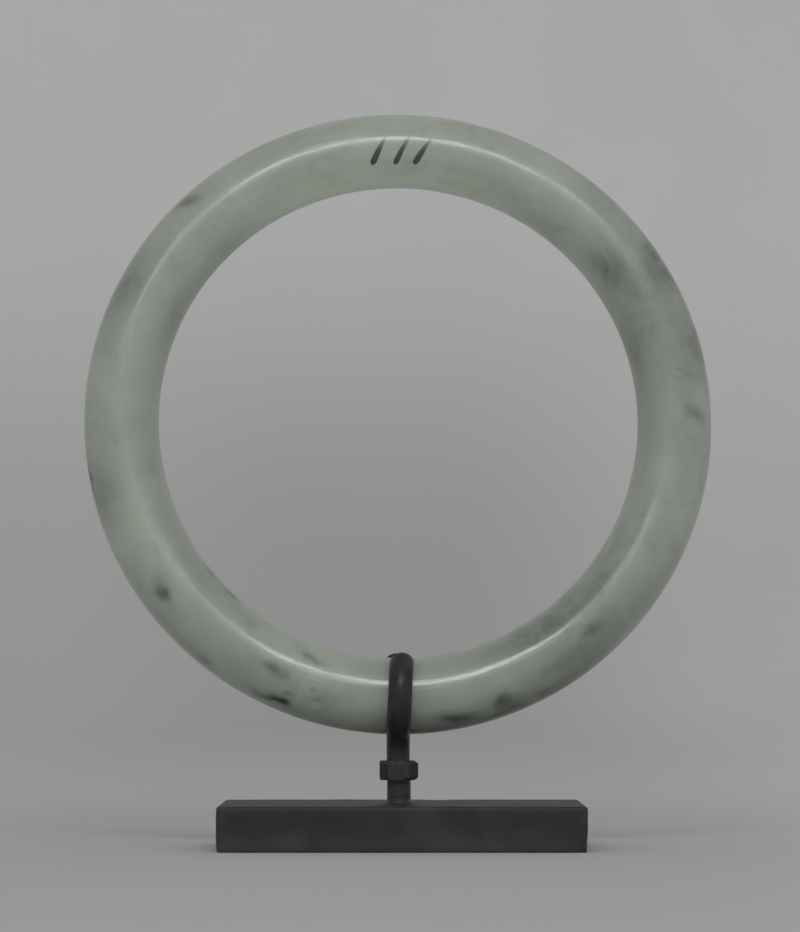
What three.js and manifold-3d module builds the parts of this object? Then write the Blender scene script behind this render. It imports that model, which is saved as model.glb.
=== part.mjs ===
// A plain jade bangle, held upright by the small metal stand it is shown on.
//
// Millimetres, +Z up. The origin is on the underside of the foot block, under the stem's axis.
// The front, where the photograph was taken from, looks along +Y, with +X to the right.

import * as THREE from 'three';
import { mergeVertices } from 'three/addons/utils/BufferGeometryUtils.js';
import { RoundedBoxGeometry } from 'three/addons/geometries/RoundedBoxGeometry.js';
import Module from 'manifold-3d';

const wasm = await Module();
wasm.setup();

// Gap between pieces that touch in the real object
const CLEARANCE = 0.3;

// Ring
const RING_OUTER_DIAMETER = 92;
const RING_SECTION_DIAMETER = 10.85;
const RING_LEAN_DEG = 7;
const RING_TURN_DEG = 1.5;

// Foot block
const BLOCK_WIDTH = 52.6;
const BLOCK_DEPTH = 31;
const BLOCK_HEIGHT = 6.5;
const BLOCK_EDGE_RADIUS = 0.55;
const BLOCK_SHIFT_X = 0.43;
const BLOCK_FLOOR_UNDER_HOLE = 2.2;

// Stem
const STEM_DIAMETER = 3.3;
const STEM_NECK_ABOVE_NUT = 2.2;
const FOOT_FLARE_WIDTH = 0.3;
const FOOT_FLARE_HEIGHT = 0.4;

// Nut
const NUT_HEIGHT = 2.8;
const NUT_ABOVE_BLOCK = 3.3;
const NUT_WALL = 0.5;
const NUT_CHAMFER = 0.35;
const NUT_TURN_DEG = -3;

// Jaws
const KERF_WIDTH = 0.4;
const KERF_FLOOR_ABOVE_NUT = 0.3;
const JAW_WIDTH = 3.5;
const JAW_ROOT_BEND_RADIUS = 2;
const JAW_OPENING_DEG = 54;
const JAW_TIP_DOME_HEIGHT = 1.8;
const JAW_TIP_DOME_MARGIN = 0.1;
const FRONT_JAW_LEAN_DEG = 2.3;
const REAR_JAW_LEAN_DEG = -0.7;

// Facets
const RING_SIDES_ROUND = 96;
const RING_SIDES_SECTION = 28;
const ROD_SIDES = 32;
const JAW_STEPS = 30;
const JAW_OUTLINE_SIDES = 10;
const BLOCK_EDGE_SEGMENTS = 3;

// How far a cutting tool runs past what it cuts
const CUT_OVERRUN = 1;

// Radii and heights that follow from the sizes above
const stemRadius = STEM_DIAMETER / 2;
const sectionRadius = RING_SECTION_DIAMETER / 2;
const centreLineRadius = (RING_OUTER_DIAMETER - RING_SECTION_DIAMETER) / 2;
const nutBottomZ = BLOCK_HEIGHT + NUT_ABOVE_BLOCK;
const nutTopZ = nutBottomZ + NUT_HEIGHT;
const jawThickness = stemRadius - KERF_WIDTH / 2;
const jawInnerRadius = sectionRadius + CLEARANCE;
const jawOuterRadius = jawInnerRadius + jawThickness;
const sectionCentreZ = nutTopZ + STEM_NECK_ABOVE_NUT + jawOuterRadius;

const { degToRad } = THREE.MathUtils;

// A closed geometry as a solid that can be joined and cut
function toSolid(geometry) {
  const bare = geometry.clone();
  bare.deleteAttribute('normal');
  bare.deleteAttribute('uv');
  const merged = mergeVertices(bare);
  return new wasm.Manifold(new wasm.Mesh({
    numProp: 3,
    vertProperties: new Float32Array(merged.attributes.position.array),
    triVerts: new Uint32Array(merged.index.array),
  }));
}

function toMesh(name, solid, material) {
  const { vertProperties, triVerts } = solid.getMesh();
  const geometry = new THREE.BufferGeometry();
  geometry.setAttribute('position', new THREE.BufferAttribute(vertProperties, 3));
  geometry.setIndex(new THREE.BufferAttribute(triVerts, 1));
  geometry.computeVertexNormals();
  const mesh = new THREE.Mesh(geometry, material);
  mesh.name = name;
  return mesh;
}

// A solid turned about the Z axis, from corners [radius, z] that start and end on the axis
function turned(corners) {
  const profile = corners.map(([radius, z]) => new THREE.Vector2(radius, z));
  const geometry = new THREE.LatheGeometry(profile, ROD_SIDES);
  geometry.rotateX(degToRad(90));
  return toSolid(geometry);
}

function rod(radius, fromZ, toZ) {
  return turned([[0, fromZ], [radius, fromZ], [radius, toZ], [0, toZ]]);
}

// Ring: one round section carried round a circle, stood up, leaned back and swung a little
function makeRing() {
  const material = new THREE.MeshStandardMaterial({ color: 0x8b9384, roughness: 0.25, metalness: 0 });
  const geometry = new THREE.TorusGeometry(
    centreLineRadius, sectionRadius, RING_SIDES_SECTION, RING_SIDES_ROUND);
  const ring = new THREE.Mesh(geometry, material);
  ring.name = 'jade_bangle';
  ring.rotation.x = degToRad(90);
  ring.position.z = centreLineRadius;

  const leaning = new THREE.Group();
  leaning.rotation.x = degToRad(-RING_LEAN_DEG);
  leaning.add(ring);

  const seat = new THREE.Group();
  seat.position.z = sectionCentreZ;
  seat.rotation.z = degToRad(RING_TURN_DEG);
  seat.add(leaning);
  return seat;
}

// Foot block: every edge eased, with a blind hole for the stem
function makeBlock() {
  const material = new THREE.MeshStandardMaterial({ color: 0x2b2c2d, roughness: 0.6, metalness: 0.2 });
  const body = new RoundedBoxGeometry(
    BLOCK_WIDTH, BLOCK_DEPTH, BLOCK_HEIGHT, BLOCK_EDGE_SEGMENTS, BLOCK_EDGE_RADIUS);
  body.translate(BLOCK_SHIFT_X, 0, BLOCK_HEIGHT / 2);
  const hole = rod(stemRadius + CLEARANCE, BLOCK_FLOOR_UNDER_HOLE, BLOCK_HEIGHT + CUT_OVERRUN);
  return toMesh('stand_block', toSolid(body).subtract(hole), material);
}

// Nut: a hexagon with a flat to the front, its corners turned off above and below
function makeNut() {
  const material = new THREE.MeshStandardMaterial({ color: 0x2e2f30, roughness: 0.5, metalness: 0.3 });
  const boreRadius = stemRadius + CLEARANCE;
  const cornerRadius = (boreRadius + NUT_WALL) / Math.cos(degToRad(30));
  const outline = new THREE.Shape();
  outline.moveTo(cornerRadius, 0);
  for (let corner = 1; corner < 6; corner += 1) {
    const angle = degToRad(60 * corner);
    outline.lineTo(cornerRadius * Math.cos(angle), cornerRadius * Math.sin(angle));
  }
  const prism = new THREE.ExtrudeGeometry(outline, { depth: NUT_HEIGHT, bevelEnabled: false });
  prism.translate(0, 0, nutBottomZ);
  const chamfered = turned([
    [0, nutBottomZ],
    [cornerRadius - NUT_CHAMFER, nutBottomZ],
    [cornerRadius, nutBottomZ + NUT_CHAMFER],
    [cornerRadius, nutTopZ - NUT_CHAMFER],
    [cornerRadius - NUT_CHAMFER, nutTopZ],
    [0, nutTopZ],
  ]);
  const bore = rod(boreRadius, nutBottomZ - CUT_OVERRUN, nutTopZ + CUT_OVERRUN);
  const nut = toMesh('hex_nut', toSolid(prism).intersect(chamfered).subtract(bore), material);
  nut.rotation.z = degToRad(NUT_TURN_DEG);
  return nut;
}

// A route in the plane x = 0, drawn as [distance to the front, z], whose section never twists
class SideRoute extends THREE.Curve {
  constructor(path) {
    super();
    this.path = path;
  }

  getPoint(t, target = new THREE.Vector3()) {
    const { x, y } = this.path.getPoint(t);
    return target.set(0, -x, y);
  }

  computeFrenetFrames(steps) {
    const tangents = [];
    const normals = [];
    const binormals = [];
    for (let step = 0; step <= steps; step += 1) {
      const tangent = this.getTangentAt(step / steps);
      const normal = new THREE.Vector3(-1, 0, 0);
      tangents.push(tangent);
      normals.push(normal);
      binormals.push(new THREE.Vector3().crossVectors(tangent, normal));
    }
    return { tangents, normals, binormals };
  }
}

// Jaw, drawn as the front one: half of the split rod, bent out and then round the ring, with a domed tip
function makeJaw() {
  const kerfFace = KERF_WIDTH / 2;
  const bendCentre = kerfFace + JAW_ROOT_BEND_RADIUS;
  const bendDrop = Math.sqrt((jawInnerRadius + JAW_ROOT_BEND_RADIUS) ** 2 - bendCentre ** 2);
  const bendZ = sectionCentreZ - bendDrop;
  const meetingAngle = Math.atan2(bendDrop, bendCentre);
  const tipAngle = degToRad(90 - JAW_OPENING_DEG / 2);

  const path = new THREE.Path();
  path.moveTo(kerfFace, nutTopZ);
  path.lineTo(kerfFace, bendZ);
  path.absarc(bendCentre, bendZ, JAW_ROOT_BEND_RADIUS, Math.PI, Math.PI - meetingAngle, true);
  path.absarc(0, sectionCentreZ, jawInnerRadius, -meetingAngle, tipAngle, false);

  const section = new THREE.Shape();
  section.moveTo(JAW_WIDTH / 2, 0);
  section.absellipse(0, 0, JAW_WIDTH / 2, jawThickness, 0, Math.PI, false);
  const bar = new THREE.ExtrudeGeometry(section, {
    steps: JAW_STEPS,
    curveSegments: JAW_OUTLINE_SIDES,
    extrudePath: new SideRoute(path),
  });

  const apexZ = sectionCentreZ + jawOuterRadius * Math.sin(tipAngle);
  const shoulderZ = apexZ - JAW_TIP_DOME_HEIGHT;
  const reach = jawOuterRadius + CUT_OVERRUN;
  const kept = new THREE.Shape();
  kept.moveTo(-JAW_WIDTH, 0);
  kept.lineTo(JAW_WIDTH, 0);
  kept.lineTo(JAW_WIDTH, shoulderZ);
  const domeHalfWidth = JAW_WIDTH / 2 + JAW_TIP_DOME_MARGIN;
  kept.absellipse(0, shoulderZ, domeHalfWidth, JAW_TIP_DOME_HEIGHT, 0, Math.PI, false);
  kept.lineTo(-JAW_WIDTH, shoulderZ);
  const dome = new THREE.ExtrudeGeometry(kept, {
    depth: 2 * reach,
    curveSegments: JAW_OUTLINE_SIDES,
    bevelEnabled: false,
  });
  dome.translate(0, 0, -reach);
  dome.rotateX(degToRad(90));
  return toSolid(bar).intersect(toSolid(dome));
}

// A jaw tilted sideways about the place where it leaves the stem
function leaned(jaw, angleDeg) {
  return jaw.translate(0, 0, -nutTopZ).rotate(0, angleDeg, 0).translate(0, 0, nutTopZ);
}

// Clasp: the stem with its seat in the block, and the two jaws that its split end is bent into
function makeClasp() {
  const material = new THREE.MeshStandardMaterial({ color: 0x2e2f30, roughness: 0.5, metalness: 0.3 });
  const flareBottomZ = BLOCK_HEIGHT + CLEARANCE;
  const stem = turned([
    [0, BLOCK_FLOOR_UNDER_HOLE + CLEARANCE],
    [stemRadius, BLOCK_FLOOR_UNDER_HOLE + CLEARANCE],
    [stemRadius, flareBottomZ],
    [stemRadius + FOOT_FLARE_WIDTH, flareBottomZ],
    [stemRadius, flareBottomZ + FOOT_FLARE_HEIGHT],
    [stemRadius, nutTopZ + KERF_FLOOR_ABOVE_NUT],
    [0, nutTopZ + KERF_FLOOR_ABOVE_NUT],
  ]);
  const frontJaw = leaned(makeJaw(), FRONT_JAW_LEAN_DEG);
  const rearJaw = leaned(makeJaw().rotate(0, 0, 180), REAR_JAW_LEAN_DEG);
  return toMesh('stand_clasp', stem.add(frontJaw).add(rearJaw), material);
}

const group = new THREE.Group();
group.add(makeRing(), makeBlock(), makeNut(), makeClasp());

export default group;
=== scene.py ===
from math import asin, atan2, ceil, cos, degrees, exp, pi, radians, sin, sqrt, tan, tau

import bmesh
import bpy
from mathutils import Matrix, Vector, noise


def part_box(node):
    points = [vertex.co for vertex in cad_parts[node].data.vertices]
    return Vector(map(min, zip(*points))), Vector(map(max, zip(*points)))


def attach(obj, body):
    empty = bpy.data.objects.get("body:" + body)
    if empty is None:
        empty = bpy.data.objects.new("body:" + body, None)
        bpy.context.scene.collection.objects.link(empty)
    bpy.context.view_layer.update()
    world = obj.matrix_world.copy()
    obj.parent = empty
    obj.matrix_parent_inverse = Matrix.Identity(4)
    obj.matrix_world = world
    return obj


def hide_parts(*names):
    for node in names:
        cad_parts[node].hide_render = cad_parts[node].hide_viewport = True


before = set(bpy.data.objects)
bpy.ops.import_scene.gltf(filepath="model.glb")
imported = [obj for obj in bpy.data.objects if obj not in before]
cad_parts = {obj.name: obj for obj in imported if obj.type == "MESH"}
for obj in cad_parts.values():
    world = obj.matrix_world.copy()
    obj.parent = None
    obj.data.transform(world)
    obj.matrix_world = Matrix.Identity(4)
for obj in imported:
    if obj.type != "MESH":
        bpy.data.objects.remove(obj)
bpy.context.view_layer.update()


# Foot block
# A bar of mild steel, sawn to length, its edges broken with a file, then painted dark and matt.
# It stands free on its flat underside and carries the stem in a hole drilled in its top.
BLOCK_EDGE_BREAK = 0.00045
BLOCK_EDGE_STEPS = 3
BLOCK_CELL = 0.0006
BLOCK_UNEVENNESS = 0.00004
BLOCK_UNEVEN_WAVES = 180
BLOCK_KNOCK_WAVES = 1500
BLOCK_PAINT = (0.0225, 0.023, 0.0235, 1)
BLOCK_PAINT_THIN = (0.038, 0.0385, 0.039, 1)
BLOCK_RUBBED = (0.075, 0.073, 0.070, 1)
# Pale specks of dust, and also the tone of the painted floor reflection low on the block
BLOCK_SPECK_AND_REFLECTION = (0.16, 0.16, 0.155, 1)
BLOCK_RUBBED_SHARE = 0.55
BLOCK_SPECK_SHARE = 0.7
# Painted reflection of the pale floor: the block painted paler towards its underside
BLOCK_PAINTED_REFLECTION_HEIGHT = 0.0040
BLOCK_PAINTED_REFLECTION_SHARE = 0.14

# Knocks along the edges: where, as shares of the block's half sizes, how wide and how deep
BLOCK_KNOCKS = [
    ((1, -1, -1), 0.0016, 0.00055),
    ((-1, -1, -0.98), 0.0009, 0.00018),
    ((-0.99, -1, 1), 0.0008, 0.00016),
    ((0.62, -1, 1), 0.0010, 0.00010),
    ((-0.45, -1, -1), 0.0013, 0.00010),
    ((1, 0.35, 1), 0.0012, 0.00014),
    ((-1, 0.7, 1), 0.0010, 0.00018),
    ((0.2, 1, 1), 0.0014, 0.00012),
]


def new_piece(name, bm, node_name, material):
    """A finished piece: a closed mesh at the origin, which stands for one CAD node."""
    mesh = bpy.data.meshes.new(name)
    bm.to_mesh(mesh)
    bm.free()
    mesh.shade_smooth()
    mesh.materials.append(material)
    piece = bpy.data.objects.new(name, mesh)
    bpy.context.collection.objects.link(piece)
    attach(piece, "root")
    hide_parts(node_name)


def new_material(name):
    """A material, its node tree and its Principled shader."""
    material = bpy.data.materials.new(name)
    material.use_nodes = True
    tree = material.node_tree
    return material, tree, tree.nodes["Principled BSDF"]


def node(tree, kind, settings=None, **inputs):
    """A shader node. An input is a value, or the output that is linked to it."""
    made = tree.nodes.new("ShaderNode" + kind)
    for key, value in (settings or {}).items():
        setattr(made, key, value)
    for key, value in inputs.items():
        name = key.replace("_", " ")
        socket = made.inputs[int(name[2:])] if name.startswith("in") else made.inputs[name]
        if isinstance(value, bpy.types.NodeSocket):
            tree.links.new(value, socket)
        else:
            socket.default_value = value
    return made


def reckon(tree, operation, first, second=0.0):
    """A shader sum, product or the like of two numbers or sockets."""
    return node(tree, "Math", {"operation": operation}, in0=first, in1=second).outputs[0]


def fade(tree, value, start, end, low=0.0, high=1.0):
    """A smooth rise from low to high as value goes from start to end."""
    made = node(tree, "MapRange", {"interpolation_type": "SMOOTHSTEP"}, Value=value)
    for key, number in (("From Min", start), ("From Max", end), ("To Min", low), ("To Max", high)):
        made.inputs[key].default_value = number
    return made.outputs[0]


def grain(tree, place, scale, detail=4.0, roughness=0.55):
    """Noise of that many waves to the metre."""
    return node(tree, "TexNoise", Vector=place, Scale=scale, Detail=detail,
                Roughness=roughness).outputs[0]


def blend(tree, share, first, second):
    """One colour fading into another."""
    made = node(tree, "Mix", {"data_type": "RGBA"}, in0=share)
    for socket, value in ((made.inputs[6], first), (made.inputs[7], second)):
        if isinstance(value, bpy.types.NodeSocket):
            tree.links.new(value, socket)
        else:
            socket.default_value = value
    return made.outputs[2]


def relief(tree, height, distance, below=None):
    """A bump of that height in metres."""
    made = node(tree, "Bump", Height=height, Distance=distance, Strength=1.0)
    if below is not None:
        tree.links.new(below, made.inputs["Normal"])
    return made.outputs[0]


def matt_block_paint():
    """Thin brushed paint: mottled, rubbed at the edges, with specks of dust, painted paler low down as a
    painted reflection of the floor.
    """
    material, tree, shader = new_material("matt_block_paint")
    place = node(tree, "TexCoord").outputs["Object"]
    wear = node(tree, "Attribute", {"attribute_name": "wear"}).outputs["Fac"]
    mottle = grain(tree, place, 170, detail=6)
    pores = grain(tree, place, 2600, detail=3, roughness=0.7)
    thin = fade(tree, mottle, 0.42, 0.66)
    painted = blend(tree, thin, BLOCK_PAINT, BLOCK_PAINT_THIN)
    rubbing = reckon(tree, "MULTIPLY", wear, fade(tree, pores, 0.42, 0.62))
    worn = reckon(tree, "MULTIPLY", rubbing, BLOCK_RUBBED_SHARE)
    rubbed = blend(tree, worn, painted, BLOCK_RUBBED)
    flecks = node(tree, "TexVoronoi", {"feature": "F1"}, Vector=place, Scale=240.0)
    dusty = fade(tree, grain(tree, place, 95, detail=2), 0.58, 0.66)
    fleck = reckon(tree, "MULTIPLY", fade(tree, flecks.outputs["Distance"], 0.075, 0.045), dusty)
    # Painted reflection: paler towards the underside, where the floor's light falls on it
    height = node(tree, "SeparateXYZ", Vector=place).outputs["Z"]
    low = fade(tree, height, BLOCK_PAINTED_REFLECTION_HEIGHT, 0.0)
    reflection_painted = blend(tree, reckon(tree, "MULTIPLY", low, BLOCK_PAINTED_REFLECTION_SHARE), rubbed, BLOCK_SPECK_AND_REFLECTION)
    colour = blend(tree, reckon(tree, "MULTIPLY", fleck, BLOCK_SPECK_SHARE), reflection_painted, BLOCK_SPECK_AND_REFLECTION)
    tree.links.new(colour, shader.inputs["Base Color"])
    gloss = fade(tree, pores, 0.35, 0.7, 0.50, 0.62)
    tree.links.new(gloss, shader.inputs["Roughness"])
    brushed = relief(tree, mottle, 0.00006)
    tree.links.new(relief(tree, pores, 0.000025, brushed), shader.inputs["Normal"])
    shader.inputs["Specular IOR Level"].default_value = 0.42
    return material


def block_mesh(half):
    """The bar round the origin, its edges broken, cut all over into cells."""
    bm = bmesh.new()
    bmesh.ops.create_cube(bm, size=2, matrix=Matrix.Diagonal((*half, 1)))
    bmesh.ops.bevel(bm, geom=bm.edges[:], offset=BLOCK_EDGE_BREAK, segments=BLOCK_EDGE_STEPS,
                    profile=0.5, affect="EDGES", material=-1)
    for axis in range(3):
        run = half[axis] - BLOCK_EDGE_BREAK
        cuts = ceil(2 * run / BLOCK_CELL)
        for cut in range(1, cuts):
            place = Vector()
            place[axis] = run * (2 * cut / cuts - 1)
            across = Vector()
            across[axis] = 1
            bmesh.ops.bisect_plane(bm, geom=bm.verts[:] + bm.edges[:] + bm.faces[:],
                                   plane_co=place, plane_no=across)
    bm.normal_update()
    return bm


def knocked_in(spot, half):
    """How far the knocks have driven the block's surface in at a spot."""
    ragged = 1 + 0.5 * noise.noise(spot * BLOCK_KNOCK_WAVES)
    total = 0
    for corner, width, depth in BLOCK_KNOCKS:
        place = Vector(share * size for share, size in zip(corner, half))
        away = (spot - place).length / width
        total += depth * exp(-away ** 2) * ragged
    return total


def make_block():
    """The block, a little uneven but for its corners and its flat underside."""
    low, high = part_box("stand_block")
    half = (high - low) / 2
    bm = block_mesh(half)
    wear = bm.verts.layers.float.new("wear")
    for vert in bm.verts:
        gaps = sorted(half[axis] - abs(vert.co[axis]) for axis in range(3))
        vert[wear] = exp(-(gaps[0] + gaps[1]) / BLOCK_EDGE_BREAK)
        off_corner = gaps[2] > BLOCK_EDGE_BREAK
        waves = noise.noise(vert.co * BLOCK_UNEVEN_WAVES) - 1
        push = BLOCK_UNEVENNESS * waves * off_corner - knocked_in(vert.co, half)
        if vert.co.z > -half.z + BLOCK_EDGE_BREAK / 4:
            vert.co += vert.normal * push
    bmesh.ops.translate(bm, verts=bm.verts, vec=(low + high) / 2)
    new_piece("foot_block", bm, "stand_block", matt_block_paint())


make_block()


# Clasp
# One slim rod of soft steel, set in the block. Its upper end is sawn lengthwise into two half-round
# jaws, hammered a little flatter, bent round the ring from front and back, and painted to match.
ROD_STEPS = 64
ROD_RADIUS = 0.00172
ROD_EASE = 0.0001
ABOVE_NUT_SHARE = 0.98
ROD_BURIED = 0.0004
FLARE_WIDTH = 0.00028
FLARE_HEIGHT = 0.00045
KERF_FLOOR_ABOVE_NUT = 0.0003
KERF_WIDTH = 0.0004
JAW_WIDTH = 0.0035
JAW_GRIP_GAP = 0.00004
JAW_BEND_RADIUS = 0.0044
JAW_TIP_ANGLE = radians(63.5)
REAR_JAW_DROP = 0.00012
JAW_SHOULDER_ANGLE = radians(33)
JAW_DOME_HEIGHT = 0.0018
JAW_DOME_HALF_WIDTH = 0.00185
NECK_SHIFT = -0.00010
FRONT_JAW_LEAN = radians(2.75)
REAR_JAW_LEAN = radians(-1.4)
LEAN_ABOVE_NUT = 0.0040
HAMMERED_SHARE = 0.010
HAMMERED_WAVES = 150
JAW_SIDE_WEAR = 0.7
JAW_SHARP_ANGLE = radians(40)
JAW_BEND_STEPS = 14
JAW_GRIP_STEPS = 74
STEEL_PAINT = (0.029, 0.0295, 0.030, 1)
STEEL_PAINT_THIN = (0.043, 0.043, 0.0435, 1)
# The paler tone of the rod below the nut, and of the painted light above it
STEEL_PALE_AND_PAINTED_LIGHT = (0.16, 0.16, 0.155, 1)
# The rod paler from the nut down to the block
STEM_PALER_LOW_SHARE = 0.16
# Painted light: the rod painted paler from above the nut into the jaws' bend, in the shade under the ring
BEND_PAINTED_LIGHT_SHARE = 0.10
BEND_PAINTED_LIGHT_BELOW_SEAT = (0.0045, 0.0070)
BEND_PAINTED_LIGHT_ABOVE_NUT = (0.0004, 0.0018)
STEEL_RUBBED_SHARE = 0.6
STEEL_RUBBED = (0.085, 0.083, 0.080, 1)
RING_SECTION = 0.00547
RING_SWELL = 0.00009
RING_DROP = 0.00011

# The flare where the paint gathers at the rod's foot, as shares of its width and height
FLARE_SHAPE = [(1, 0), (0.85, 0.3), (0.2, 0.75), (0, 1), (0, 1.5)]

block_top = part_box("stand_block")[1].z
nut_low, nut_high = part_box("hex_nut")
kerf_floor_z = nut_high.z + KERF_FLOOR_ABOVE_NUT
seat_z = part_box("jade_bangle")[0].z + RING_SECTION - RING_DROP
grip_radius = RING_SECTION + RING_SWELL + JAW_GRIP_GAP
neck_radius = ROD_RADIUS * ABOVE_NUT_SHARE
jaw_tip_rise = (grip_radius + neck_radius - KERF_WIDTH / 2) * sin(JAW_TIP_ANGLE)
lean_from_z = nut_high.z + LEAN_ABOVE_NUT


def painted_rod():
    """Thin satin paint over filed steel: mottled, rubbed grey along the edges, paler below the nut, with
    painted light from above the nut into the jaws' bend.
    """
    material, tree, shader = new_material("satin_rod_paint")
    place = node(tree, "TexCoord").outputs["Object"]
    wear = node(tree, "Attribute", {"attribute_name": "wear"}).outputs["Fac"]
    mottle = grain(tree, place, 420, detail=5)
    fine = grain(tree, place, 3200, detail=3, roughness=0.7)
    filed = node(tree, "Mapping", Vector=place, Scale=(1.0, 1.0, 0.12)).outputs[0]
    strokes = grain(tree, filed, 5200, detail=2, roughness=0.6)
    painted = blend(tree, fade(tree, mottle, 0.40, 0.68), STEEL_PAINT, STEEL_PAINT_THIN)
    rubbing = reckon(tree, "MULTIPLY", wear, fade(tree, fine, 0.44, 0.62))
    colour = blend(tree, reckon(tree, "MULTIPLY", rubbing, STEEL_RUBBED_SHARE), painted, STEEL_RUBBED)
    height = node(tree, "SeparateXYZ", Vector=place).outputs["Z"]
    # Paler from the nut down to the block
    paler_low = fade(tree, height, nut_high.z, block_top, 0.0, STEM_PALER_LOW_SHARE)
    # Painted light from above the nut into the lower bend of the jaws, in the shade under the ring
    below_seat = [seat_z - drop for drop in BEND_PAINTED_LIGHT_BELOW_SEAT]
    above_nut = [nut_high.z + rise for rise in BEND_PAINTED_LIGHT_ABOVE_NUT]
    bend_painted_light = reckon(tree, "MINIMUM", fade(tree, height, *below_seat, 0.0, BEND_PAINTED_LIGHT_SHARE),
                   fade(tree, height, *above_nut, 0.0, BEND_PAINTED_LIGHT_SHARE))
    pale = reckon(tree, "ADD", paler_low, bend_painted_light)
    tree.links.new(blend(tree, pale, colour, STEEL_PALE_AND_PAINTED_LIGHT), shader.inputs["Base Color"])
    gloss = fade(tree, mottle, 0.35, 0.7, 0.28, 0.36)
    tree.links.new(gloss, shader.inputs["Roughness"])
    shader.inputs["Specular IOR Level"].default_value = 0.28
    filing = relief(tree, strokes, 0.000006)
    tree.links.new(relief(tree, fine, 0.000006, filing), shader.inputs["Normal"])
    return material


def dome_angle(x, radius):
    """How far round the ring's tube a point of the jaw reaches before the domed tip ends it."""
    share = min(1, abs(x) / JAW_DOME_HALF_WIDTH)
    rise = jaw_tip_rise - JAW_DOME_HEIGHT * (1 - sqrt(1 - share ** 2))
    return min(JAW_TIP_ANGLE, asin(min(1, rise / radius)))


def jaw_spot(step, across, out):
    """Where a point of the split rod's end lies after that many steps, for a jaw drawn in front:
    straight up, then bent forwards, then round the ring's tube."""
    bend_y = KERF_WIDTH / 2 + JAW_BEND_RADIUS
    bend_drop = sqrt((grip_radius + JAW_BEND_RADIUS) ** 2 - bend_y ** 2)
    bend_z = seat_z - bend_drop
    meeting = atan2(bend_drop, bend_y)
    broad = JAW_WIDTH / (2 * neck_radius)
    if step <= JAW_BEND_STEPS:
        z = kerf_floor_z + (bend_z - kerf_floor_z) * step / JAW_BEND_STEPS
        return Vector((across, -KERF_WIDTH / 2 - out, z))
    if step <= 2 * JAW_BEND_STEPS:
        share = step / JAW_BEND_STEPS - 1
        reach = JAW_BEND_RADIUS - out
        angle = meeting * share
        return Vector((across * (1 + (broad - 1) * share), -bend_y + reach * cos(angle),
                       bend_z + reach * sin(angle)))
    x = across * broad
    radius = grip_radius + out
    angle = -meeting + (JAW_TIP_ANGLE + meeting) * (step - 2 * JAW_BEND_STEPS) / JAW_GRIP_STEPS
    if angle > JAW_SHOULDER_ANGLE:
        share = (angle - JAW_SHOULDER_ANGLE) / (JAW_TIP_ANGLE - JAW_SHOULDER_ANGLE)
        angle = JAW_SHOULDER_ANGLE + (dome_angle(x, radius) - JAW_SHOULDER_ANGLE) * share
    return Vector((x, -radius * cos(angle), seat_z + radius * sin(angle)))


def next_end(bm, end):
    """The end face carried one step further, with walls behind it."""
    made = bmesh.ops.extrude_face_region(bm, geom=[end])["geom"]
    bmesh.ops.delete(bm, geom=[end], context="FACES_ONLY")
    return next(item for item in made if isinstance(item, bmesh.types.BMFace))


def grow_jaw(bm, end, side, lean, wear):
    """Draws one half of the split rod's end out into a jaw. side is 1 in front, -1 behind."""
    section = [(abs(vert.co.y) - KERF_WIDTH / 2, vert.co.x) for vert in end.verts]
    steps = 2 * JAW_BEND_STEPS + JAW_GRIP_STEPS
    for step in range(1, steps + 1):
        end = next_end(bm, end)
        for vert, (out, across) in zip(end.verts, section):
            spot = jaw_spot(step, across - NECK_SHIFT, out)
            waves = noise.noise(spot * HAMMERED_WAVES + Vector((0, side * 9, 0)))
            hammered = 1 + HAMMERED_SHARE * waves
            leaning = NECK_SHIFT + max(0, spot.z - lean_from_z) * lean
            drop = REAR_JAW_DROP * max(0, spot.z - seat_z) / jaw_tip_rise if side < 0 else 0
            vert.co = (spot.x * hammered + leaning, spot.y * side, spot.z - drop)
            side_wear = (abs(across) / ROD_RADIUS) ** 4 * JAW_SIDE_WEAR
            vert[wear] = side_wear if step < steps - 2 else 1.0


def rod_top(bm):
    """The faces that close the top of the round rod."""
    return [face for face in bm.faces if min(vert.co.z for vert in face.verts) > kerf_floor_z - 1e-7]


def grow_stem(bm):
    """The round rod: a flare at its foot, then straight up through the nut to the kerf's floor."""
    foot = bmesh.ops.create_circle(bm, cap_ends=True, segments=ROD_STEPS, radius=ROD_RADIUS + FLARE_WIDTH,
                                   matrix=Matrix.Translation((0, 0, block_top - ROD_BURIED)))
    made = bmesh.ops.extrude_face_region(bm, geom=foot["verts"][0].link_faces[:])["geom"]
    end = next(item for item in made if isinstance(item, bmesh.types.BMFace))
    profile = [(ROD_RADIUS + FLARE_WIDTH * wide, block_top + FLARE_HEIGHT * high)
               for wide, high in FLARE_SHAPE]
    profile += [
        (ROD_RADIUS, nut_low.z),
        (neck_radius, nut_low.z + (nut_high.z - nut_low.z) / 2),
        (neck_radius, nut_high.z),
        (neck_radius, kerf_floor_z),
    ]
    for radius, z in profile:
        middle = end.calc_center_median()
        for vert in end.verts:
            spot = (vert.co - middle).xy.normalized() * radius
            vert.co = (spot.x + NECK_SHIFT * (radius == neck_radius), spot.y, z)
        end = end if z == kerf_floor_z else next_end(bm, end)


def split_stem(bm):
    """Two cuts across the rod's top, with the kerf's floor between them."""
    for y in (-KERF_WIDTH / 2, KERF_WIDTH / 2):
        faces = rod_top(bm)
        edges = list({edge for face in faces for edge in face.edges})
        verts = list({vert for face in faces for vert in face.verts})
        bmesh.ops.bisect_plane(bm, geom=faces + edges + verts, plane_co=(0, y, 0), plane_no=(0, 1, 0))


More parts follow.
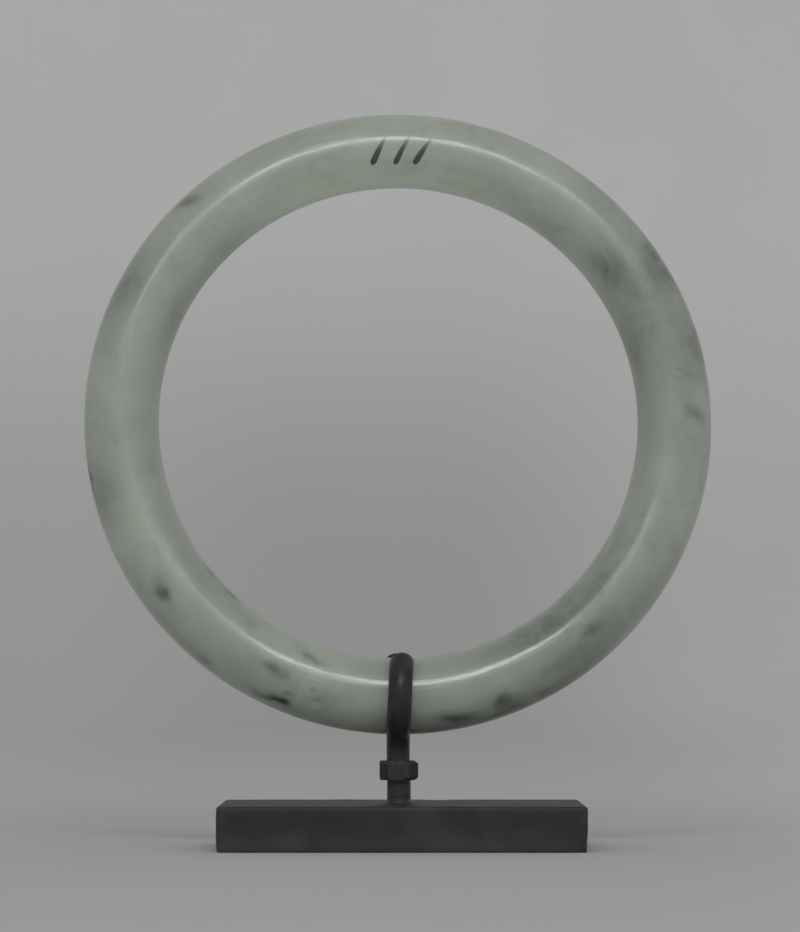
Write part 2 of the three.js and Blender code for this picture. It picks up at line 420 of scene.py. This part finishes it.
def make_clasp():
    """Stem and jaws, drawn out of one mesh, with the jaws' corners eased."""
    bm = bmesh.new()
    wear = bm.verts.layers.float.new("wear")
    grow_stem(bm)
    split_stem(bm)
    for side, lean in ((1, FRONT_JAW_LEAN), (-1, REAR_JAW_LEAN)):
        end = next(face for face in rod_top(bm) if face.calc_center_median().y * side < -KERF_WIDTH)
        grow_jaw(bm, end, side, tan(lean), wear)
    bmesh.ops.recalc_face_normals(bm, faces=bm.faces)
    corners = [edge for edge in bm.edges
               if min(vert.co.z for vert in edge.verts) > kerf_floor_z + 1e-5
               and edge.calc_face_angle(0) > JAW_SHARP_ANGLE]
    bmesh.ops.bevel(bm, geom=corners, offset=ROD_EASE, segments=2, profile=0.5, affect="EDGES",
                    clamp_overlap=True, material=-1)
    new_piece("rod_clasp", bm, "stand_clasp", painted_rod())


make_clasp()


# Nut
# A small plain hexagonal nut of steel, turned to a cone at both ends, run down the rod and painted
# with it. It sits a little above the block, turned one degree.
NUT_STEPS = 180
NUT_FACE_HALF = 0.00245
NUT_CORNER_ROUND = 0.00003
NUT_CHAMFER = 0.00035
NUT_CHAMFER_SHIFT = 0.00018
NUT_TURN = radians(-1)
NUT_BORE = 0.00174
NUT_PAINT = (0.036, 0.0365, 0.037, 1)
NUT_PAINT_THIN = (0.050, 0.050, 0.050, 1)
# The tone of rubbed paint, and of the painted light on the front flat and top chamfer
NUT_RUBBED_AND_PAINTED_LIGHT = (0.14, 0.138, 0.134, 1)
NUT_RUBBED_SHARE = 0.8
# Painted light: the front flat, which faces the lamps, painted paler
NUT_FRONT_PAINTED_LIGHT_SHARE = 0.20
NUT_FRONT_PAINTED_LIGHT_Y = (-0.0021, -0.0023)
NUT_CORNER_WEAR = 0.15
NUT_CORNER_FROM = 0.985
NUT_SHARP_ANGLE = radians(25)


def painted_nut():
    """The same dark paint, rubbed on the turned edges and corners, with painted light on the front flat and
    on the top chamfer, which faces up.
    """
    material, tree, shader = new_material("dark_nut_paint")
    place = node(tree, "TexCoord").outputs["Object"]
    wear = node(tree, "Attribute", {"attribute_name": "wear"}).outputs["Fac"]
    mottle = grain(tree, place, 520, detail=4)
    fine = grain(tree, place, 3600, detail=3, roughness=0.7)
    painted = blend(tree, fade(tree, mottle, 0.42, 0.66), NUT_PAINT, NUT_PAINT_THIN)
    rubbing = reckon(tree, "MULTIPLY", wear, fade(tree, fine, 0.40, 0.62))
    colour = blend(tree, reckon(tree, "MULTIPLY", rubbing, NUT_RUBBED_SHARE), painted, NUT_RUBBED_AND_PAINTED_LIGHT)
    depth = node(tree, "SeparateXYZ", Vector=place).outputs["Y"]
    # Painted light on the front flat, which faces the lamps
    front_painted_light = fade(tree, depth, *NUT_FRONT_PAINTED_LIGHT_Y, 0.0, NUT_FRONT_PAINTED_LIGHT_SHARE)
    tree.links.new(blend(tree, front_painted_light, colour, NUT_RUBBED_AND_PAINTED_LIGHT), shader.inputs["Base Color"])
    gloss = fade(tree, mottle, 0.35, 0.7, 0.46, 0.58)
    tree.links.new(gloss, shader.inputs["Roughness"])
    shader.inputs["Specular IOR Level"].default_value = 0.12
    tree.links.new(relief(tree, fine, 0.000012), shader.inputs["Normal"])
    return material


def nut_rows(corner):
    """The nut's rows of points: their height, the most that they reach out, and how pale they are: rubbed
    paint, with painted light on the top chamfer.
    """
    return [
        (nut_low.z, corner - NUT_CHAMFER, 0.15),
        (nut_low.z + NUT_CHAMFER, corner, 0.10),
        (nut_low.z + NUT_CHAMFER * 1.6, corner, 0.0),
        (nut_high.z - NUT_CHAMFER * 1.6, corner, 0.0),
        (nut_high.z - NUT_CHAMFER, corner, 1.0),
        (nut_high.z - NUT_CHAMFER * 0.5, corner - NUT_CHAMFER * 0.5, 0.5),
        (nut_high.z, corner - NUT_CHAMFER, 1.0),
        (nut_high.z, NUT_BORE, 0.2),
    ]


def make_nut():
    """The nut, grown row by row from its bore, and closed by the wall of the bore."""
    corner = NUT_FACE_HALF / cos(pi / 6)
    bm = bmesh.new()
    wear = bm.verts.layers.float.new("wear")
    circle = bmesh.ops.create_circle(bm, segments=NUT_STEPS, radius=NUT_BORE,
                                     matrix=Matrix.Translation((0, 0, nut_low.z)))
    start = list({edge for vert in circle["verts"] for edge in vert.link_edges})
    edges = start
    for z, limit, rubbed in nut_rows(corner):
        made = bmesh.ops.extrude_edge_only(bm, edges=edges)["geom"]
        edges = [item for item in made if isinstance(item, bmesh.types.BMEdge)]
        on_cone = NUT_BORE < limit < corner
        for vert in {vert for edge in edges for vert in edge.verts}:
            angle = atan2(vert.co.y, vert.co.x) - NUT_TURN
            flat = NUT_FACE_HALF / cos(angle % (pi / 3) - pi / 6)
            most = limit - NUT_CHAMFER_SHIFT * cos(angle) * on_cone
            reach = min(flat, most, corner - NUT_CORNER_ROUND)
            spot = vert.co.xy.normalized() * reach
            vert.co = (spot.x, spot.y, z)
            # Rubbed paint on the chamfers; on the top chamfer, which faces up, also painted light
            chamfer_wear_and_light = rubbed * max(0, 1 - (flat - reach) / NUT_CHAMFER)
            vert[wear] = chamfer_wear_and_light + NUT_CORNER_WEAR * (flat > corner * NUT_CORNER_FROM)
    bmesh.ops.bridge_loops(bm, edges=start + edges)
    bmesh.ops.recalc_face_normals(bm, faces=bm.faces)
    for edge in bm.edges:
        edge.smooth = edge.calc_face_angle(0) < NUT_SHARP_ANGLE
    new_piece("hexagon_nut", bm, "hex_nut", painted_nut())


make_nut()


# Jade bangle
# One plain ring of round section, sawn, ground and polished from a single lump of cloudy jade with
# dark inclusions. It stands upright in the clasp, leaning back a little, and carries three strokes
# of ink on its front near the top.
RING_STEPS = 720
RING_SIDES = 96
RING_MIDDLE_RADIUS = 0.04052
RING_LEAN = radians(-7)
RING_TURN = radians(1.5)
RING_INSET = 0.00001
RING_SHIFT = Vector((0.00007, 0, -0.00006))
RING_UNEVENNESS = 0.000016
RING_UNEVEN_WAVES = 70
RING_RIGHT_THINNER = 0.00004
JADE = (0.38, 0.413, 0.36, 1)
JADE_LIGHT = (0.62, 0.665, 0.585, 1)
JADE_GREY = (0.21, 0.225, 0.205, 1)
JADE_DARK = (0.030, 0.032, 0.029, 1)
INK = (0.050, 0.050, 0.051, 1)
VEIL_SHARE = 0.26
WISP_SHARE = 0.30
ROUGH_LOWER = (0.285, 0.285, 0.285, 1)
ROUGH_UPPER = (0.38, 0.38, 0.38, 1)
ROUGH_SCUFFED = (0.42, 0.42, 0.42, 1)
ROUGH_INK = (0.55, 0.55, 0.55, 1)
ROUGH_HEIGHTS = (0.035, 0.090)
COAT_ROUGHNESS = (0.05, 0.09)
FLESH_RELIEF = 0.00004
STREAK_RELIEF = 0.00010
POLISH_RELIEF = 0.00003
PIT_RELIEF = 0.000004

# Dark marks in the stone as seen from the front, and some rows of painted shade, noted below: the degrees
# round the ring from its right side, the share of the way from the middle of the section to its outer edge,
# their half lengths, the slant in degrees for each whole share, and how dark they are
JADE_MARKS_AND_PAINTED_SHADE = [
    (1.6, 0.52, 1.6, 0.30, -5.0, 0.28),
    (13.5, 0.80, 5.0, 0.22, 0.0, 0.22),
    (31.5, 0.78, 5.5, 0.24, 2.0, 0.36),
    (47.0, 0.78, 8.0, 0.30, 0.0, 0.15),
    (28.0, 0.94, 24.0, 0.14, 0.0, 0.22),
    # Painted shade on the ring's right side, away from the lamps
    (21.0, 0.30, 17.0, 0.70, 0.0, 0.22),
    (32.0, 0.10, 9.0, 0.60, 0.0, 0.10),
    (36.4, -0.44, 3.2, 0.17, 4.0, 0.15),
    (35.5, -0.42, 7.5, 0.36, 0.0, 0.24),
    (20.0, -0.72, 26.0, 0.34, 0.0, 0.10),
    (17.0, -0.80, 8.0, 0.20, 0.0, 0.14),
    (62.0, -0.80, 12.0, 0.20, 0.0, 0.08),
    (133.4, 0.84, 2.0, 0.15, 3.0, 0.50),
    (102.0, 0.80, 4.5, 0.16, 0.0, 0.14),
    (153.5, 0.80, 8.0, 0.26, 0.0, 0.34),
    (150.0, 0.38, 10.0, 0.26, 0.0, 0.14),
    (138.0, -0.85, 11.0, 0.20, 0.0, 0.12),
    (155.0, -0.78, 8.0, 0.24, 0.0, 0.20),
    (171.0, 0.70, 8.0, 0.30, 0.0, 0.03),
    (191.0, 0.93, 2.8, 0.07, 0.0, 0.65),
    (194.0, 0.72, 6.0, 0.26, 0.0, 0.24),
    (191.0, -0.78, 2.4, 0.18, 0.0, 0.14),
    (216.7, 0.42, 1.5, 0.17, -2.0, 0.50),
    (215.0, 0.26, 2.8, 0.22, 6.0, 0.22),
    (217.0, 0.70, 9.0, 0.34, 0.0, 0.14),
    (231.4, 0.84, 1.8, 0.09, 0.0, 0.30),
    (228.5, 0.84, 5.0, 0.16, 0.0, 0.18),
    (220.0, -0.93, 1.8, 0.06, 0.0, 0.45),
    (226.5, -0.92, 1.8, 0.07, 0.0, 0.45),
    (234.0, -0.62, 1.6, 0.14, 0.0, 0.14),
    (243.2, 0.02, 2.8, 0.15, 5.0, 0.48),
    (240.5, 0.34, 8.0, 0.42, 0.0, 0.14),
    (247.0, 0.76, 1.9, 0.12, 0.0, 0.78),
    (244.0, 0.80, 2.6, 0.09, 0.0, 0.40),
    (246.0, 0.74, 5.0, 0.20, 0.0, 0.12),
    (247.6, 0.48, 1.0, 0.07, 0.0, 0.30),
    (250.4, -0.56, 2.9, 0.13, 9.0, 0.42),
    (245.6, -0.80, 1.4, 0.10, 0.0, 0.14),
    (253.6, 0.45, 0.7, 0.06, 0.0, 0.32),
    (252.0, 0.14, 0.7, 0.06, 0.0, 0.26),
    (254.6, 0.45, 2.4, 0.20, 0.0, 0.12),
    # Painted shade along the outer edge of the ring's foot, which faces down
    (283.5, 0.93, 12.0, 0.08, 0.0, 0.30),
    (281.0, 0.72, 3.6, 0.13, 5.0, 0.55),
    (284.5, 0.70, 11.0, 0.22, 0.0, 0.10),
    (290.5, 0.72, 3.2, 0.18, 0.0, 0.38),
    (289.8, 0.48, 1.6, 0.18, 0.0, 0.28),
    # These three rows: partly painted shade where the ring's lower right faces down, partly grey cloud in
    # the stone
    (300.0, 0.93, 11.0, 0.16, 0.0, 0.42),
    (301.0, 0.60, 10.0, 0.42, 0.0, 0.18),
    (314.0, 0.42, 12.0, 0.46, 0.0, 0.30),
    (312.3, 0.12, 2.2, 0.15, 4.0, 0.42),
    (304.0, -0.75, 18.0, 0.36, 0.0, 0.38),
    (313.0, -0.42, 18.0, 0.18, 0.0, 0.22),
    (333.0, -0.75, 12.0, 0.34, 0.0, 0.12),
    (340.0, 0.10, 15.0, 0.70, 0.0, 0.08),
    (213.0, -0.75, 15.0, 0.30, 0.0, 0.17),
    (321.5, -0.52, 3.8, 0.22, 6.0, 0.12),
    (330.0, 0.80, 12.0, 0.24, 0.0, 0.16),
    (344.0, -0.40, 3.5, 0.18, 0.0, 0.10),
]

# Cloudier, paler parts, and some rows of painted light, noted below, written in the same way
JADE_CLOUDS_AND_PAINTED_LIGHT = [
    (262.5, 0.25, 5.0, 0.32, 0.0, 0.14),
    # These two rows: painted light on the outer edge of the foot, which faces down into shade
    (256.0, 0.85, 8.0, 0.28, 0.0, 0.45),
    (287.0, 0.88, 6.0, 0.22, 0.0, 0.40),
    (203.0, -0.15, 16.0, 0.35, 0.0, 0.12),
    (172.0, 0.00, 16.0, 0.35, 0.0, 0.10),
    (112.0, -0.30, 34.0, 0.45, 0.0, 0.10),
    # These two rows: painted light under the top of the ring, which faces down into shade
    (90.0, -0.92, 42.0, 0.30, 0.0, 0.85),
    (90.0, -0.70, 42.0, 0.30, 0.0, 0.20),
]

# Strokes of ink: the degrees round the ring at their middle, then half length, half width and slant
INK_STROKES = [
    (84.9, 0.0024, 0.00050, 0.50),
    (89.3, 0.0024, 0.00046, 0.48),
    (94.3, 0.0024, 0.00052, 0.52),
]
INK_SHARE = 0.05
INK_WIDTH_AT_MIDDLE = 0.75
INK_TAPER = 0.35
INK_RAGGEDNESS = 0.9
INK_EDGE = (1.15, 0.80)
INK_THIN_END = 0.35

# How many degrees further round the ring its front shows than its middle line, at its right side
SEEN_SHIFT = 1.4

# How many degrees below the ring's own front the camera sees it from: the mean of its top and
# its foot, and half of what the top has more
SEEN_TILT = 10.3
SEEN_TILT_MORE = 3.9

# How a mark fades outwards, and how far along the ring it reaches: half lengths, and degrees more
MARK_FADE = 0.9
MARK_FADE_POWER = 1.3
MARK_END = (2.5, 4)

# What makes the marks' edges irregular: waves to the metre, and how many degrees they move them.
# Blender's vector noise differs in each session unless it is given a seed.
MARK_DRIFTS = [(260, 0.9), (700, 0.5), (1900, 0.22)]
DRIFT_ROUND_SECTION = 9
MARK_SEED = 3

ring_low, ring_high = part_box("jade_bangle")
ring_centre = (ring_low + ring_high) / 2 + RING_SHIFT
ring_turned = Matrix.Rotation(RING_TURN, 4, "Z") @ Matrix.Rotation(RING_LEAN, 4, "X")


def seen_angle(share, round_ring):
    """The angle round the section, from the ring's own front, of a point that the camera sees at that
    share of the way to the outer edge: the lean and the view from below shift it."""
    tilt = (SEEN_TILT + SEEN_TILT_MORE * sin(round_ring)) * sin(round_ring)
    return degrees(asin(max(-1, min(1, share)))) - tilt


def placed_marks(marks):
    """The marks with their middles turned from what the camera sees into the ring's own angles."""
    placed = []
    for seen, share, half_length, half_width, slant, strength in marks:
        around = radians(seen)
        middle = seen - SEEN_SHIFT * cos(around) * sqrt(max(0, 1 - share ** 2))
        half_height = degrees(half_width) / max(0.5, sqrt(max(0, 1 - share ** 2)))
        placed.append((middle, seen_angle(share, around), half_length, half_height, slant, strength))
    return placed


def mark_strength(marks, around, section):
    """How strongly the placed marks show at a point, in degrees round the ring and the section."""
    total = 0
    for middle, centre, half_length, half_height, slant, strength in marks:
        along = (around - middle + 180) % 360 - 180
        if abs(along) > half_length * MARK_END[0] + MARK_END[1]:
            continue
        upward = (section - centre + 180) % 360 - 180
        length = (along - slant * radians(upward)) / half_length
        reach = length ** 2 + (upward / half_height) ** 2
        total += strength * exp(-MARK_FADE * reach ** MARK_FADE_POWER)
    return total


def jade_stone(tree, place, wisps, flour):
    """The stone's colour: pale, with paler clouds, grey wisps and dark marks, and painted light and painted
    shade among them.
    """
    stain_and_painted_shade = node(tree, "Attribute", {"attribute_name": "stain_and_painted_shade"}).outputs["Fac"]
    cloud = node(tree, "Attribute", {"attribute_name": "cloud"}).outputs["Fac"]
    veil = fade(tree, grain(tree, place, 55, detail=6, roughness=0.6), 0.36, 0.66)
    # The pale clouds, with painted light among them
    pale = reckon(tree, "ADD", reckon(tree, "MULTIPLY", veil, VEIL_SHARE), cloud)
    stone = blend(tree, pale, JADE, JADE_LIGHT)
    grey = reckon(tree, "MULTIPLY", fade(tree, wisps, 0.52, 0.74), WISP_SHARE)
    stone = blend(tree, grey, stone, JADE_GREY)
    uneven = reckon(tree, "ADD", reckon(tree, "MULTIPLY", wisps, 1.1), reckon(tree, "MULTIPLY", flour, 0.9))
    # The dark marks, with painted shade among them
    return blend(tree, reckon(tree, "MULTIPLY", stain_and_painted_shade, uneven), stone, JADE_DARK)


def ink_cover(tree, strips, flour, places):
    """How much ink covers a point: tapered dabs, ragged at the edge, thinner towards one end."""
    inked = 0.0
    for middle, half_length, half_width, slant in places:
        stroke = node(tree, "Mapping", {"vector_type": "TEXTURE"}, Vector=strips, Location=middle,
                      Rotation=(0.0, 0.0, slant), Scale=(half_width, half_length, 1.0)).outputs[0]
        parts = node(tree, "SeparateXYZ", Vector=stroke)
        width = reckon(tree, "MULTIPLY_ADD", parts.outputs["Y"], -INK_TAPER)
        width.node.inputs[2].default_value = INK_WIDTH_AT_MIDDLE
        sideways = reckon(tree, "DIVIDE", parts.outputs["X"], width)
        endways = reckon(tree, "POWER", reckon(tree, "ABSOLUTE", parts.outputs["Y"]), 6.0)
        away = reckon(tree, "ADD", reckon(tree, "POWER", reckon(tree, "ABSOLUTE", sideways), 2.0), endways)
        ragged = reckon(tree, "MULTIPLY", reckon(tree, "SUBTRACT", flour, 0.5), INK_RAGGEDNESS)
        brushed = reckon(tree, "ADD", away, ragged)
        density = fade(tree, parts.outputs["Y"], -0.2, 1.1, 1.0, INK_THIN_END)
        dab = reckon(tree, "MULTIPLY", fade(tree, brushed, *INK_EDGE), density)
        inked = reckon(tree, "MAXIMUM", inked, dab)
    return inked


def polish_jade(tree, shader, place, strips, wisps, inked):
    """The polish: duller towards the top and where it is scuffed, with fine streaks round the ring.
    The coat carries them weakly, so that the line of light stays crisp, and the stone strongly."""
    scratches = node(tree, "Mapping", Vector=strips, Scale=(50.0, 2600.0, 1.0)).outputs[0]
    drawn = grain(tree, scratches, 1.0, detail=3, roughness=0.75)
    scuffed = fade(tree, grain(tree, place, 70, detail=3), 0.38, 0.60)
    dull = reckon(tree, "MULTIPLY", fade(tree, drawn, 0.50, 0.72), scuffed)
    upper = fade(tree, node(tree, "SeparateXYZ", Vector=place).outputs["Z"], *ROUGH_HEIGHTS)
    surface = blend(tree, dull, blend(tree, upper, ROUGH_LOWER, ROUGH_UPPER), ROUGH_SCUFFED)
    surface = blend(tree, inked, surface, ROUGH_INK)
    tree.links.new(surface, shader.inputs["Roughness"])
    tree.links.new(fade(tree, upper, 0.0, 1.0, *COAT_ROUGHNESS), shader.inputs["Coat Roughness"])
    rough_flesh = relief(tree, wisps, FLESH_RELIEF)
    streaks = reckon(tree, "MULTIPLY", drawn, scuffed)
    tree.links.new(relief(tree, streaks, STREAK_RELIEF, rough_flesh), shader.inputs["Normal"])
    polish = relief(tree, streaks, POLISH_RELIEF, rough_flesh)
    pits = grain(tree, place, 3000, detail=2, roughness=0.6)
    tree.links.new(relief(tree, pits, PIT_RELIEF, polish), shader.inputs["Coat Normal"])


def polished_jade():
    """Cloudy stone that light enters a little way, polished, with dabs of ink that stop the light."""
    material, tree, shader = new_material("cloudy_jade")
    place = node(tree, "TexCoord").outputs["Object"]
    strips = node(tree, "UVMap", {"uv_map": "around"}).outputs[0]
    wisps = node(tree, "TexNoise", Vector=place, Scale=130.0, Detail=5.0, Roughness=0.62,
                 Distortion=1.6).outputs[0]
    flour = grain(tree, place, 900, detail=4, roughness=0.7)
    inked = ink_cover(tree, strips, flour, ink_places())
    colour = blend(tree, inked, jade_stone(tree, place, wisps, flour), INK)
    tree.links.new(colour, shader.inputs["Base Color"])
    polish_jade(tree, shader, place, strips, wisps, inked)
    tree.links.new(reckon(tree, "SUBTRACT", 1.0, inked), shader.inputs["Subsurface Weight"])
    shader.inputs["Subsurface Radius"].default_value = (0.9, 1.0, 0.85)
    shader.inputs["Subsurface Scale"].default_value = 0.012
    shader.inputs["IOR"].default_value = 1.55
    shader.inputs["Coat Weight"].default_value = 0.16
    shader.inputs["Coat IOR"].default_value = 2.4
    shader.inputs["Specular IOR Level"].default_value = 0.42
    return material


def ring_section_angle(spot):
    """Degrees round the section of a point of the upright ring: 0 at its front, 90 at its outside."""
    outward = Vector((spot.x, 0, spot.z)).length - RING_MIDDLE_RADIUS
    return degrees(atan2(outward, -spot.y))


def upright_ring():
    """The upright ring round the origin, spun from one circle."""
    bm = bmesh.new()
    section = bmesh.ops.create_circle(bm, segments=RING_SIDES, radius=RING_SECTION - RING_INSET,
                                      matrix=Matrix.Rotation(radians(90), 4, "Z"))
    bmesh.ops.translate(bm, verts=bm.verts, vec=(RING_MIDDLE_RADIUS, 0, 0))
    bmesh.ops.rotate(bm, verts=bm.verts, cent=(0, 0, 0), matrix=Matrix.Rotation(radians(90), 3, "Y"))
    outline = list({edge for vert in section["verts"] for edge in vert.link_edges})
    bmesh.ops.spin(bm, geom=outline + section["verts"], cent=(0, 0, 0), axis=(0, -1, 0),
                   angle=tau, steps=RING_STEPS, use_merge=True)
    bmesh.ops.recalc_face_normals(bm, faces=bm.faces)
    return bm


def lay_out_flat(bm):
    """The ring's surface laid out in metres, round the ring from its foot and round its section from
    its back, for the streaks of the polish and the ink."""
    strips = bm.loops.layers.uv.new("around")
    for face in bm.faces:
        middle = face.calc_center_median()
        face_around = (degrees(atan2(middle.z, middle.x)) - 270) % 360
        face_section = (ring_section_angle(middle) + 180) % 360
        for loop in face.loops:
            spot = loop.vert.co
            around = (degrees(atan2(spot.z, spot.x)) - 270) % 360
            section_angle = (ring_section_angle(spot) + 180) % 360
            around += 360 * round((face_around - around) / 360)
            section_angle += 360 * round((face_section - section_angle) / 360)
            loop[strips].uv = (radians(around) * RING_MIDDLE_RADIUS,
                               radians(section_angle) * RING_SECTION)


def write_marks_and_painted_light(bm):
    """Writes the dark marks and the paler parts on the ring's points, with the painted shade and painted
    light listed among them.
    """
    stain_and_painted_shade = bm.verts.layers.float.new("stain_and_painted_shade")
    cloud = bm.verts.layers.float.new("cloud")
    noise.seed_set(MARK_SEED)
    dark_marks_and_shade = placed_marks(JADE_MARKS_AND_PAINTED_SHADE)
    pale_marks_and_light = placed_marks(JADE_CLOUDS_AND_PAINTED_LIGHT)
    for vert in bm.verts:
        drift = Vector()
        for waves, amount in MARK_DRIFTS:
            drift += amount * noise.noise_vector(vert.co * waves)
        around = degrees(atan2(vert.co.z, vert.co.x)) % 360 + drift.x
        section_angle = ring_section_angle(vert.co) + drift.y * DRIFT_ROUND_SECTION
        vert[stain_and_painted_shade] = mark_strength(dark_marks_and_shade, around, section_angle)
        vert[cloud] = mark_strength(pale_marks_and_light, around, section_angle)


def grind_unevenly(bm):
    """Leaves the ring a little out of round: thinner on its right, thicker and lower at its foot."""
    bm.normal_update()
    for vert in bm.verts:
        right = max(0, vert.co.x / RING_MIDDLE_RADIUS) ** 2
        low = max(0, -vert.co.z / RING_MIDDLE_RADIUS)
        dip = RING_UNEVENNESS * (1 - noise.noise(vert.co * RING_UNEVEN_WAVES))
        vert.co -= vert.normal * (dip + RING_RIGHT_THINNER * right - RING_SWELL * low)
        vert.co.z -= (RING_DROP + RING_SHIFT.z) * low


def ink_places():
    """The strokes of ink on the ring's flat layout: their middles, half sizes and slant."""
    places = []
    for middle, half_length, half_width, slant in INK_STROKES:
        section_angle = seen_angle(INK_SHARE, radians(middle)) + 180
        place = (radians((middle - 270) % 360) * RING_MIDDLE_RADIUS,
                 radians(section_angle) * RING_SECTION, 0.0)
        places.append((place, half_length, half_width, slant))
    return places


def make_bangle():
    """The ring, made upright round the origin, then leant, turned and set in the clasp."""
    bm = upright_ring()
    lay_out_flat(bm)
    write_marks_and_painted_light(bm)
    grind_unevenly(bm)
    bm.transform(Matrix.Translation(ring_centre) @ ring_turned)
    new_piece("bangle", bm, "jade_bangle", polished_jade())


make_bangle()


# Stage
# A seamless sheet of pale grey paper, flat under the stand and curved up behind it.
SWEEP_HALF_WIDTH = 2.2
SWEEP_FRONT_Y = -1.6
SWEEP_FLAT_END_Y = 0.95
SWEEP_CURVE_RADIUS = 0.45
SWEEP_WALL_TOP_Z = 2.2
SWEEP_CURVE_STEPS = 24
PAPER = (0.68, 0.68, 0.68, 1)
PAPER_NEAR = (0.60, 0.60, 0.60, 1)
PAPER_HIGH = (0.97, 0.97, 0.97, 1)

# Where the paper's tone changes: along which axis, from where to where, how far, and to which tone.
# Darker on the floor under and in front of the stand is painted shade; paler upwards and to the sides
# is painted light on the backdrop; paler far in front, out of view, is brighter paper that lights
# the stand from below.
PAPER_FADES = [
    ("Y", 0.35, -0.05, 1.0, PAPER_NEAR),
    ("Y", -0.22, -0.30, 1.0, PAPER_HIGH),
    ("Z", 0.06, 0.26, 1.0, PAPER_HIGH),
    ("X", 0.02, 0.15, 0.6, PAPER_HIGH),
    ("X", -0.04, -0.15, 0.25, PAPER_HIGH),
]


def pale_paper():
    """Matt paper, slightly mottled, whose tone changes from place to place, partly as painted light and
    shade.
    """
    material, tree, shader = new_material("pale_paper")
    place = node(tree, "TexCoord").outputs["Object"]
    mottle = grain(tree, place, 9, detail=4)
    spot = node(tree, "SeparateXYZ", Vector=place)
    tone = PAPER
    for axis, start, end, share, further in PAPER_FADES:
        tone = blend(tree, fade(tree, spot.outputs[axis], start, end, 0.0, share), tone, further)
    tone = blend(tree, fade(tree, mottle, 0.35, 0.65, 0.0, 0.06), tone, PAPER_NEAR)
    tree.links.new(tone, shader.inputs["Base Color"])
    shader.inputs["Roughness"].default_value = 0.95
    shader.inputs["Specular IOR Level"].default_value = 0.1
    return material


def sweep_line():
    """The sheet seen from its side: flat, then curved up, then upright."""
    line = [(SWEEP_FRONT_Y, 0.0)]
    for step in range(SWEEP_CURVE_STEPS + 1):
        angle = pi / 2 * step / SWEEP_CURVE_STEPS
        line.append((SWEEP_FLAT_END_Y + SWEEP_CURVE_RADIUS * sin(angle),
                     SWEEP_CURVE_RADIUS * (1 - cos(angle))))
    line.append((SWEEP_FLAT_END_Y + SWEEP_CURVE_RADIUS, SWEEP_WALL_TOP_Z))
    return line


def paper_sweep():
    """The sheet itself, one strip of faces across for each step of its line."""
    line = sweep_line()
    bm = bmesh.new()
    bmesh.ops.create_grid(bm, x_segments=1, y_segments=len(line) - 1, size=1)
    for vert in bm.verts:
        y, z = line[round((vert.co.y + 1) / 2 * (len(line) - 1))]
        vert.co = (vert.co.x * SWEEP_HALF_WIDTH, y, z)
    bmesh.ops.recalc_face_normals(bm, faces=bm.faces)
    mesh = bpy.data.meshes.new("paper_sweep")
    bm.to_mesh(mesh)
    bm.free()
    mesh.shade_smooth()
    mesh.materials.append(pale_paper())
    sweep = bpy.data.objects.new("paper_sweep", mesh)
    bpy.context.collection.objects.link(sweep)


paper_sweep()


# Lights
# A long soft strip high in front, in parts that dim towards its ends and sink towards its left, a
# dimmer strip below it, and grey daylight from all sides.
STRIP_Y = -1.10
STRIP_HEIGHT = 0.28
STRIP_AIM_HEIGHT = 0.06
DAYLIGHT = (0.42, 0.42, 0.42, 1)
DAYLIGHT_STRENGTH = 0.80

# The strip's parts: where the middle is to the side and in height, how long it is, and how bright
STRIPS = [
    ("strip_middle", 0.0, 0.90, 0.50, 7.0),
    ("strip_left", -0.375, 0.76, 0.25, 2.3),
    ("strip_right", 0.375, 0.91, 0.25, 2.8),
    ("strip_far_left", -0.675, 0.64, 0.35, 0.18),
    ("strip_far_right", 0.675, 0.91, 0.35, 0.65),
    ("strip_end_left", -1.10, 0.60, 0.50, 0.10),
    ("strip_end_right", 1.10, 0.92, 0.50, 0.20),
    ("strip_low", 0.0, 0.60, 0.90, 0.45),
]


def area_light(name, place, aim, width, height, power):
    """A rectangular lamp of the stage, turned to face a point."""
    light = bpy.data.lights.new(name, "AREA")
    light.shape = "RECTANGLE"
    light.size = width
    light.size_y = height
    light.energy = power
    lamp = bpy.data.objects.new(name, light)
    lamp.location = place
    lamp.rotation_euler = (Vector(aim) - Vector(place)).to_track_quat("-Z", "Y").to_euler()
    bpy.context.collection.objects.link(lamp)


for name, x, z, width, radiance in STRIPS:
    power = radiance * pi * width * STRIP_HEIGHT
    area_light(name, (x, STRIP_Y, z), (x, 0, STRIP_AIM_HEIGHT), width, STRIP_HEIGHT, power)

world = bpy.data.worlds.new("grey_daylight")
world.use_nodes = True
world.node_tree.nodes["Background"].inputs["Color"].default_value = DAYLIGHT
world.node_tree.nodes["Background"].inputs["Strength"].default_value = DAYLIGHT_STRENGTH
bpy.context.scene.world = world
bpy.context.scene.view_settings.view_transform = "Standard"


# Camera
# At the photograph's place: level with the foot block's top, looking slightly up.
CAMERA_PLACE = (0.00016, -0.600, 0.0273)
CAMERA_PITCH = radians(92.672)
CAMERA_LENS = 159.69

lens = bpy.data.cameras.new("photograph")
lens.sensor_width = 36
lens.lens = CAMERA_LENS
camera = bpy.data.objects.new("photograph", lens)
camera.location = CAMERA_PLACE
camera.rotation_euler = (CAMERA_PITCH, 0, 0)
bpy.context.collection.objects.link(camera)
bpy.context.scene.camera = camera
